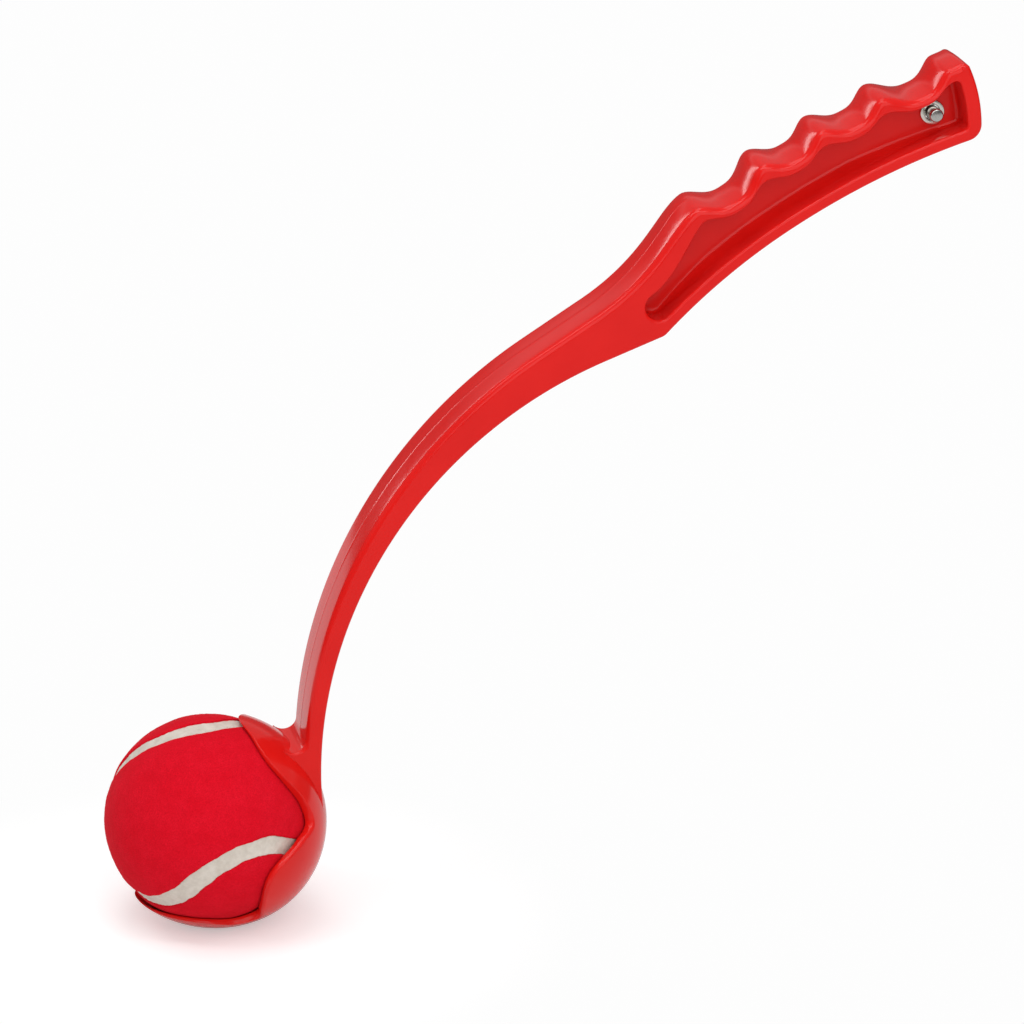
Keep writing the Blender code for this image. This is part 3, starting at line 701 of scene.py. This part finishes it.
def post_place():
    """Middle of the hang post, at set distances from the grip's end and from the pocket's palm wall."""
    along = GRIP_LENGTH - POST_FROM_END
    palm_rise = PALM_RISE - PALM_END_RADIUS + sqrt(PALM_END_RADIUS ** 2 - (along - PALM_ALONG) ** 2)
    return from_grip(along, palm_rise + PALM_WALL + POST_FROM_WALL)


def ball_place():
    """The ball's centre in the frame, whose origin is the hang post."""
    post = post_place()
    return Vector((-post.x, 0.0, -post.y))


# Cup and launcher

def cup_inner_radius(angle):
    """Radius inside the cup: a sphere, and past the ball's widest ring a bore along the mouth's axis."""
    return (BALL_RADIUS + CUP_CLEARANCE) / (sin(angle) if angle < pi / 2 else 1.0)


def cup_outer_radius(turn, angle):
    """The wall swells from the lip to the back of the cup, and sooner on the arm's side."""
    lip = radians(RIM_DEGREES[0][1])
    from_lip = max(angle - lip, 0.0) / (pi - lip)
    upper_power, lower_power = CUP_SWELL_POWERS
    power = upper_power + (lower_power - upper_power) * (1 - cos(turn)) / 2
    swell = sin(pi / 2 * from_lip) ** power
    return BALL_RADIUS + CUP_CLEARANCE + CUP_LIP_WALL + (CUP_BACK_WALL - CUP_LIP_WALL) * swell


def cup_direction(turn, angle):
    """Unit vector at an angle from the mouth's axis, turned about it from the upper finger."""
    mouth = Vector((cos(MOUTH_TILT), 0.0, sin(MOUTH_TILT)))
    upper = Vector((sin(MOUTH_TILT), 0.0, -cos(MOUTH_TILT)))
    near = Vector((0.0, -1.0, 0.0))
    return mouth * cos(angle) + (upper * cos(turn) + near * sin(turn)) * sin(angle)


def rim_line():
    """Smooth closed rim through the near half's points and their mirror images, as (turn, angle)."""
    half = list(RIM_DEGREES)
    whole = half + [(360 - turn, angle) for turn, angle in reversed(half[1:-1])]
    knots = [Vector((radians(turn), radians(angle))) for turn, angle in whole]
    round_trip = Vector((2 * pi, 0.0))
    count = len(knots)
    line = []
    for index in range(count):
        around = []
        for offset in (-1, 0, 1, 2):
            laps, place = divmod(index + offset, count)
            around.append(knots[place] + round_trip * laps)
        start_handle = around[1] + (around[2] - around[0]) / 6
        end_handle = around[2] - (around[3] - around[1]) / 6
        line += interpolate_bezier(around[1], start_handle, end_handle, around[2], RIM_STEPS + 1)[:-1]
    return line


def cup_rings():
    """Rings from the back of the cup outside, round the lip, to the back inside."""
    rim = rim_line()
    back = radians(BACK_DEGREES)
    outside = []
    inside = []
    for row in range(CUP_ROWS + 1):
        share = row / CUP_ROWS
        outer_ring = []
        inner_ring = []
        for turn, rim_angle in rim:
            wall = cup_outer_radius(turn, rim_angle) - cup_inner_radius(rim_angle)
            soft_start = rim_angle + LIP_ROUND_SHARE * wall / BALL_RADIUS
            angle = soft_start + (back - soft_start) * share
            direction = cup_direction(turn, angle)
            outer_ring.append(direction * cup_outer_radius(turn, angle))
            inner_ring.append(direction * cup_inner_radius(angle))
        outside.append(outer_ring)
        inside.append(inner_ring)
    lip = []
    for step in range(1, LIP_STEPS):
        round_turn = pi * step / LIP_STEPS
        ring = []
        for turn, rim_angle in rim:
            wall = cup_outer_radius(turn, rim_angle) - cup_inner_radius(rim_angle)
            reach = LIP_ROUND_SHARE * wall / BALL_RADIUS
            angle = rim_angle + reach * (1 - sin(round_turn))
            inner = cup_inner_radius(angle)
            outer = cup_outer_radius(turn, angle)
            radius = (inner + outer) / 2 + (outer - inner) / 2 * cos(round_turn)
            ring.append(cup_direction(turn, angle) * radius)
        lip.append(ring)
    return outside[::-1] + lip + inside


def slab(name, outline, sections):
    """The extruded arm and grip, with rounded long edges, a crowned back and a fine parting line."""
    half_width = ARM_WIDTH / 2
    rings = []
    for step in range(EDGE_STEPS + CROWN_STEPS):
        turn = pi / 2 * max(1 - step / EDGE_STEPS, 0.0)
        across = max(step - EDGE_STEPS, 0) / CROWN_STEPS
        levels = []
        insets = []
        for soft, crown, lift, _ in sections:
            level = (half_width - soft + soft * sin(turn)) * (1 - across)
            levels.append(level)
            insets.append(soft * (1 - cos(turn)) + crown * (level / half_width) ** 2 - lift)
        points = moved_in(outline, insets)
        rings.append([Vector((point.x, level, point.y)) for point, level in zip(points, levels)])
    for level, share in ((PARTING_WIDTH, 0.0), (PARTING_WIDTH / 2, 1.0)):
        points = moved_in(outline, [-lift - rib * share for _, _, lift, rib in sections])
        rings.append([Vector((point.x, level, point.y)) for point in points])
    mirrored = [[Vector((point.x, -point.y, point.z)) for point in ring] for ring in reversed(rings)]
    return surfaced(name, rings + mirrored)


def pocket_cutter(name, outline, side):
    """A cutter for one side pocket: its floor edge is rounded, most on the palm's side, and so is its rim."""
    half_width = ARM_WIDTH / 2
    floor = WEB_THICKNESS / 2
    rounds = []
    for index in range(len(outline)):
        from_end = min(index, 2 * PALM_STEPS - 1 - index) / (PALM_STEPS / 2)
        share = min(max(from_end, 0.0), 1.0)
        rounds.append([POCKET_FLOOR_ROUND + (most - POCKET_FLOOR_ROUND) * share
                       for most in (POCKET_PALM_ROUND, POCKET_PALM_SLOPE)])
    rings = []
    for step in range(EDGE_STEPS):
        turn = pi / 2 * step / (EDGE_STEPS - 1)
        points = moved_in(outline, [inwards * (1 - sin(turn)) for inwards, _ in rounds])
        rings.append([Vector((point.x, side * (floor + height * (1 - cos(turn))), point.y))
                      for point, (_, height) in zip(points, rounds)])
    for step in range(EDGE_STEPS):
        turn = pi / 2 * step / EDGE_STEPS
        flare = POCKET_RIM_ROUND * (1 - cos(turn))
        level = half_width - POCKET_RIM_ROUND * (1 - sin(turn))
        rings.append(inset_ring(outline, -flare, side * level))
    for rise in (NUDGE, OVERRUN):
        rings.append(inset_ring(outline, -POCKET_RIM_ROUND, side * (half_width + rise)))
    return surfaced(name, rings)


def flat_cutter():
    """A block under the cup that cuts its flat foot."""
    reach = BALL_RADIUS + CUP_BACK_WALL + OVERRUN
    top = -BALL_RADIUS - CUP_CLEARANCE - CUP_FLAT_WALL
    corners = [(-reach, -reach), (reach, -reach), (reach, reach), (-reach, reach)]
    rings = [[Vector((x, y, level)) for x, y in corners] for level in (-reach, top)]
    return surfaced("cup_flat_cutter", rings)


def turned_ring(radius, level):
    """A ring of points about the Y axis."""
    angles = [2 * pi * side / POST_SIDES for side in range(POST_SIDES)]
    return [Vector((radius * cos(angle), level, radius * sin(angle))) for angle in angles]


def launcher_skin(plastic):
    """Cup, arm and pocketed grip as one smooth moulding."""
    outline, sections = arm_and_grip_outline()
    launcher = surfaced("launcher_skin", cup_rings())
    combine(launcher, slab("arm_and_grip_body", outline, sections), "UNION")
    combine(launcher, flat_cutter(), "DIFFERENCE")
    pocket = pocket_outline()
    for side, label in ((-1, "near"), (1, "far")):
        combine(launcher, pocket_cutter("pocket_cutter_" + label, pocket, side), "DIFFERENCE")
    post = post_place()
    hole_radius = POST_RADIUS + EYELET_BARREL_WALL + 2 * GAP
    depth = WEB_THICKNESS / 2 + OVERRUN
    hole = surfaced("post_hole_cutter", [turned_ring(hole_radius, level) for level in (-depth, depth)])
    hole.data.transform(Matrix.Translation((post.x, 0.0, post.y)))
    combine(launcher, hole, "DIFFERENCE")
    smooth(launcher, LAUNCHER_SHARP)
    weighted = launcher.modifiers.new("even_shading", "WEIGHTED_NORMAL")
    weighted.keep_sharp = True
    place = Matrix.Translation(ball_place())
    return dressed(launcher, plastic, place, "launcher", ["launcher_moulding"])


# Hang post

def rounded_profile(corners, radius):
    """A turned profile of (radius, level) corners, each rounded off by a small arc where it is marked."""
    points = []
    count = len(corners)
    for index, (across, level, soft) in enumerate(corners):
        corner = Vector((across, level))
        if not soft:
            points.append(corner)
            continue
        before = Vector(corners[index - 1][:2])
        after = Vector(corners[(index + 1) % count][:2])
        points += rounded_corner(before, corner, after, radius, POST_ROUND_STEPS)
    return points


def eyelet_skin(nickel):
    """Barrel through the web with a rounded flange on each face of it."""
    bore = POST_RADIUS + GAP
    barrel = bore + EYELET_BARREL_WALL
    inner = WEB_THICKNESS / 2 + GAP
    outer = inner + EYELET_FLANGE
    half = [(barrel, inner, False), (EYELET_FLANGE_RADIUS, inner, False)]
    half += [(EYELET_FLANGE_RADIUS, outer, True), (bore, outer, True)]
    corners = half + [(across, -level, soft) for across, level, soft in reversed(half)]
    profile = rounded_profile(corners, EYELET_FLANGE_ROUND)
    item = surfaced("eyelet_skin", [turned_ring(point.x, point.y) for point in profile], closed=True)
    smooth(item, METAL_SHARP)
    return dressed(item, nickel, Matrix.Identity(4), "launcher", ["post_eyelet"])


def post_skin(steel):
    """Turned pin with a shallow groove behind each head and rounded tips."""
    end = POST_LENGTH / 2
    neck = POST_RADIUS - POST_GROOVE_DEPTH
    head = end - POST_HEAD
    groove = head - POST_GROOVE_WIDTH
    middle = Vector((POST_RADIUS - POST_TIP_ROUND, end - POST_TIP_ROUND))
    tip = arc(middle, POST_TIP_ROUND, pi / 2, 0.0, POST_ROUND_STEPS)
    half = tip + [Vector((POST_RADIUS, head)), Vector((neck, head)), Vector((neck, groove))]
    half.append(Vector((POST_RADIUS, groove)))
    profile = half + [Vector((point.x, -point.y)) for point in reversed(half)]
    item = surfaced("post_skin", [turned_ring(point.x, point.y) for point in profile])
    smooth(item, METAL_SHARP)
    return dressed(item, steel, Matrix.Identity(4), "launcher", ["lanyard_post"])


# Ball

def seam_frame(place):
    """Point of the seam on the unit sphere, and the unit direction across the seam."""
    sway = SEAM_SWAY_SHARE
    main = 1 - sway
    lift = 2 * sqrt(main * sway)
    point = Vector((main * cos(place) + sway * cos(3 * place), main * sin(place) - sway * sin(3 * place),
                    lift * sin(2 * place)))
    travel = Vector((-main * sin(place) - 3 * sway * sin(3 * place),
                     main * cos(place) - 3 * sway * cos(3 * place), 2 * lift * cos(2 * place)))
    point.normalize()
    return point, travel.cross(point).normalized()


def beside_seam(place, distance):
    """Unit vector beside the seam, at a distance along the ball's surface."""
    point, across = seam_frame(place)
    return (point + across * tan(distance / BALL_RADIUS)).normalized()


def cut_edge(place, side):
    """Half the seam's width on one side, straying and wandering as hand-cut felt does."""
    point, _ = seam_frame(place)
    spot = point * BALL_RADIUS + Vector((side * FELT_THICKNESS, 0.0, 0.0))
    wander = EDGE_WANDER_HEIGHT * noise.noise(spot / EDGE_WANDER)
    fray = EDGE_FRAY_HEIGHT * noise.noise(spot / EDGE_FRAY)
    edge = side * (SEAM_WIDTH / 2 + (wander + fray))
    for drift_side, middle, spread, amount in SEAM_DRIFTS:
        apart = abs((place - middle + pi) % (2 * pi) - pi)
        if side == drift_side and apart < spread:
            edge += amount * (1 + cos(pi * apart / spread)) / 2
    return edge


def felt_height(direction):
    """How far the felt stands from its mean surface."""
    spot = direction * BALL_RADIUS
    wave = FELT_WAVE_HEIGHT * noise.noise(spot / FELT_WAVE)
    return wave + FELT_GRAIN_HEIGHT * noise.noise(spot / FELT_GRAIN)


def felt_skin(name, start, side, felt, turn, nodes):
    """One dog-bone panel: rungs across it, each from one cut edge to the edge opposite."""
    inner_radius = BALL_RADIUS - FELT_THICKNESS
    even_shares = [column / FELT_COLUMNS for column in range(FELT_COLUMNS + 1)]
    rings = []
    for rung in range(FELT_RUNGS):
        place = start + pi * (rung + 0.5) / FELT_RUNGS
        mirror = 2 * start - place
        left = beside_seam(place, cut_edge(place, side))
        right = beside_seam(mirror, cut_edge(mirror, side))
        width = BALL_RADIUS * left.angle(right)
        outer = []
        for column in range(FELT_COLUMNS + 1):
            share = (1 - cos(pi * column / FELT_COLUMNS)) / 2
            direction = left.slerp(right, share)
            from_edge = min(share, 1 - share) * width
            roll = max(1 - from_edge / FELT_EDGE_ROLL, 0.0)
            drop = FELT_EDGE_DROP * (1 - sqrt(1 - roll ** 2))
            outer.append(direction * (BALL_RADIUS - drop + felt_height(direction)))
        inner = [left.slerp(right, share) * inner_radius for share in even_shares]
        rings.append(outer + inner[::-1])
    item = surfaced(name, rings)
    smooth(item, FELT_SHARP)
    return dressed(item, felt, turn, "ball", nodes)


def cement_skin(cement, turn):
    """The band of set rubber cement between the panels' edges, a little hollow between them."""
    low = BALL_RADIUS - FELT_THICKNESS
    rings = []
    for step in range(SEAM_STEPS):
        place = 2 * pi * step / SEAM_STEPS
        start = cut_edge(place, 1) - FELT_TO_CEMENT
        end = cut_edge(place, -1) + FELT_TO_CEMENT
        top = []
        for column in range(SEAM_COLUMNS + 1):
            share = column / SEAM_COLUMNS
            direction = beside_seam(place, start + (end - start) * share)
            hollow = SEAM_HOLLOW * sin(pi * share)
            lump = SEAM_LUMP_SHARE * felt_height(direction)
            top.append(direction * (BALL_RADIUS - SEAM_RECESS - hollow + lump))
        rings.append([beside_seam(place, start) * low] + top + [beside_seam(place, end) * low])
    item = surfaced("cement_skin", rings, closed=True)
    smooth(item, CEMENT_SHARP)
    return dressed(item, cement, turn, "ball", ["seam_cement"])


def on_seam(direction, seam_spots):
    """Whether a direction falls on the seam, given as spots with their squared reach."""
    return any((direction - middle).length_squared < reach for middle, reach in seam_spots)


def felt_nap(felt, turn):
    """Short loose fibres that stand out of the felt, each a thin closed spike."""
    chance = random.Random(NAP_SEED)
    seam_spots = []
    for step in range(0, SEAM_STEPS, SEAM_SPOT_STEP):
        place = 2 * pi * step / SEAM_STEPS
        left, right = [beside_seam(place, cut_edge(place, side)) for side in (1, -1)]
        seam_spots.append(((left + right).normalized(), (left - right).length_squared / 4))
    mesh = bmesh.new()
    half = NAP_WIDTH / 2
    made = 0
    while made < NAP_FIBRES:
        direction = Vector([chance.gauss(0, 1) for _ in range(3)]).normalized()
        lean = Vector([chance.gauss(0, 1) for _ in range(3)]).normalized()
        length = NAP_LENGTH * chance.uniform(*NAP_LENGTH_SHARES)
        if on_seam(direction, seam_spots):
            continue
        tangent = (lean - direction * lean.dot(direction)).normalized()
        beside = direction.cross(tangent)
        root = direction * (BALL_RADIUS + felt_height(direction) - NAP_WIDTH)
        tip = root + (tangent + direction * chance.uniform(*NAP_RISE)).normalized() * length
        base = [root + beside * half, root - beside * half, root + direction * half]
        corners = [mesh.verts.new(point) for point in base + [tip]]
        for first, second, third in ((0, 1, 2), (0, 3, 1), (1, 3, 2), (2, 3, 0)):
            mesh.faces.new((corners[first], corners[second], corners[third]))
        made += 1
    return dressed(finished_mesh("felt_nap", mesh), felt, turn, "ball", [])


def build_ball():
    """Felt, cement and fibres in new shapes, and rubber on the core halves as they are."""
    turn = Matrix.Translation(ball_place()) @ Euler(BALL_TURN).to_matrix().to_4x4()
    felt = needled_felt()
    rubber = moulded_core_rubber()
    felt_skin("felt_skin_a", -PANEL_START, -1, felt, turn, ["felt_panel_a"])
    felt_skin("felt_skin_b", PANEL_START, 1, felt, turn, ["felt_panel_b"])
    cement_skin(set_rubber_cement(), turn)
    felt_nap(felt, turn)
    for name in ("core_half_a", "core_half_b"):
        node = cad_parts[name]
        node.data.materials.clear()
        node.data.materials.append(rubber)


# Studio

def seen_share(tree, kinds):
    """1 for rays of the named kinds, and 0 for all others."""
    path = add_node(tree, "ShaderNodeLightPath")
    total = path.outputs[kinds[0]]
    for kind in kinds[1:]:
        total = reckoned(tree, "ADD", total, path.outputs[kind])
    return total


def studio_table(level, middle):
    """A white table that keeps the object's shadow, and fades to plain white away from it."""
    made, tree, place = new_material("studio_table")
    seen = seen_share(tree, ("Is Camera Ray", "Is Glossy Ray", "Is Transmission Ray"))
    mirrored = seen_share(tree, ("Is Glossy Ray",))
    glow = reckoned(tree, "MULTIPLY", seen, TABLE_GLOW)
    lost = reckoned(tree, "MULTIPLY", mirrored, TABLE_MIRROR_LOSS)
    dimmed = reckoned(tree, "SUBTRACT", glow, lost)
    kept = reckoned(tree, "SUBTRACT", 1.0, lost)
    white = reckoned(tree, "MULTIPLY", kept, WHITE_LEVEL)
    paper = add_node(tree, "ShaderNodeBsdfDiffuse", inputs={"Color": linear("#e8e8e8")})
    light = add_node(tree, "ShaderNodeEmission", inputs={"Strength": dimmed})
    near = add_node(tree, "ShaderNodeAddShader", inputs={0: paper.outputs[0], 1: light.outputs[0]})
    far = add_node(tree, "ShaderNodeEmission", inputs={"Strength": white})
    away = add_node(tree, "ShaderNodeVectorMath", {"operation": "LENGTH"}, {0: place}).outputs["Value"]
    fade = add_node(tree, "ShaderNodeMapRange", {"interpolation_type": "SMOOTHSTEP"},
                    {"Value": away, "From Min": TABLE_FADE[0], "From Max": TABLE_FADE[1]})
    both = add_node(tree, "ShaderNodeMixShader",
                    inputs={0: fade.outputs["Result"], 1: near.outputs[0], 2: far.outputs[0]})
    add_node(tree, "ShaderNodeOutputMaterial", inputs={"Surface": both.outputs[0]})
    side = TABLE_WIDTH / 2
    corners = [(-side, TABLE_FRONT, 0.0), (side, TABLE_FRONT, 0.0),
               (side, TABLE_BACK, 0.0), (-side, TABLE_BACK, 0.0)]
    data = bpy.data.meshes.new("studio_table")
    data.from_pydata(corners, [], [(0, 1, 2, 3)])
    data.materials.append(made)
    item = shown("studio_table", data)
    item.location = (middle.x, middle.y, level)


def studio_room():
    """White to the eye; in reflections dark at the horizon, under a bright band and a bright ceiling."""
    world = bpy.data.worlds.new("studio_room")
    bpy.context.scene.world = world
    world.use_nodes = True
    tree = world.node_tree
    tree.nodes.clear()
    place = add_node(tree, "ShaderNodeTexCoord").outputs["Generated"]
    height = add_node(tree, "ShaderNodeSeparateXYZ", inputs={"Vector": place}).outputs["Z"]
    ramp = add_node(tree, "ShaderNodeValToRGB", inputs={"Fac": height})
    bands = ramp.color_ramp.elements
    for position, _ in ROOM_BANDS[1:-1]:
        bands.new(position)
    for band, (_, value) in zip(bands, ROOM_BANDS):
        band.color = (value, value, value, 1.0)
    seen = seen_share(tree, ("Is Camera Ray", "Is Transmission Ray"))
    mirrored = seen_share(tree, ("Is Glossy Ray",))
    room = reckoned(tree, "MULTIPLY_ADD", seen, WHITE_LEVEL - ROOM_LEVEL, ROOM_LEVEL)
    change = reckoned(tree, "SUBTRACT", ramp.outputs["Color"], ROOM_LEVEL)
    total = reckoned(tree, "MULTIPLY_ADD", mirrored, change, room)
    air = add_node(tree, "ShaderNodeBackground", inputs={"Color": linear("#ffffff"), "Strength": total})
    add_node(tree, "ShaderNodeOutputWorld", inputs={"Surface": air.outputs[0]})


def studio_lamps():
    """Soft boxes: overhead, a strip above the front, one at the left behind and one low in front."""
    boxes = (("top_box", TOP_BOX), ("strip_box", STRIP_BOX),
             ("back_box", BACK_BOX), ("front_box", FRONT_BOX))
    for name, (size, power, place) in boxes:
        box = bpy.data.lights.new(name, "AREA")
        box.shape = "RECTANGLE"
        box.size, box.size_y = size
        box.energy = power
        item = shown(name, box)
        item.location = place
        item.rotation_euler = (Vector(place) - Vector(LIT_PLACE)).to_track_quat("Z", "Y").to_euler()
        item.visible_camera = False


def studio_camera(target):
    """The camera, aimed so that the target falls on its pixel."""
    right = Vector((cos(VIEW_TURN), sin(VIEW_TURN), 0.0))
    ahead = Vector((-sin(VIEW_TURN) * cos(VIEW_RISE), cos(VIEW_TURN) * cos(VIEW_RISE), -sin(VIEW_RISE)))
    upward = right.cross(ahead)
    middle = IMAGE_SIZE / 2
    aside = (BALL_PIXEL[0] - middle) / FOCAL_PIXELS * VIEW_DEPTH
    above = (middle - BALL_PIXEL[1]) / FOCAL_PIXELS * VIEW_DEPTH
    place = target - ahead * VIEW_DEPTH - right * aside - upward * above
    camera = bpy.data.cameras.new("studio_camera")
    camera.sensor_width = SENSOR_WIDTH
    camera.lens = SENSOR_WIDTH * FOCAL_PIXELS / IMAGE_SIZE
    item = shown("studio_camera", camera)
    turn = Matrix((right, upward, -ahead)).transposed().to_4x4()
    item.matrix_world = Matrix.Translation(place) @ turn
    bpy.context.scene.camera = item


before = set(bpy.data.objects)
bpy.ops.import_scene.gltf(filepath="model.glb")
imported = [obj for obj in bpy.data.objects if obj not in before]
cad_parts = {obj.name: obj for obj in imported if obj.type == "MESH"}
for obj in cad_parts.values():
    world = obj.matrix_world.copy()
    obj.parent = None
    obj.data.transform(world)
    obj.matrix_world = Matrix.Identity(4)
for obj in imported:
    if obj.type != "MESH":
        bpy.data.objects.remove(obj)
cad_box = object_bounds()

launcher_skin(moulded_polypropylene())
eyelet_skin(bright_nickel())
post_skin(polished_steel())
build_ball()

studio_table(cad_box[0][2] - TABLE_DROP, ball_place())
studio_room()
studio_lamps()
studio_camera(ball_place())
bpy.context.scene.view_settings.view_transform = "Standard"
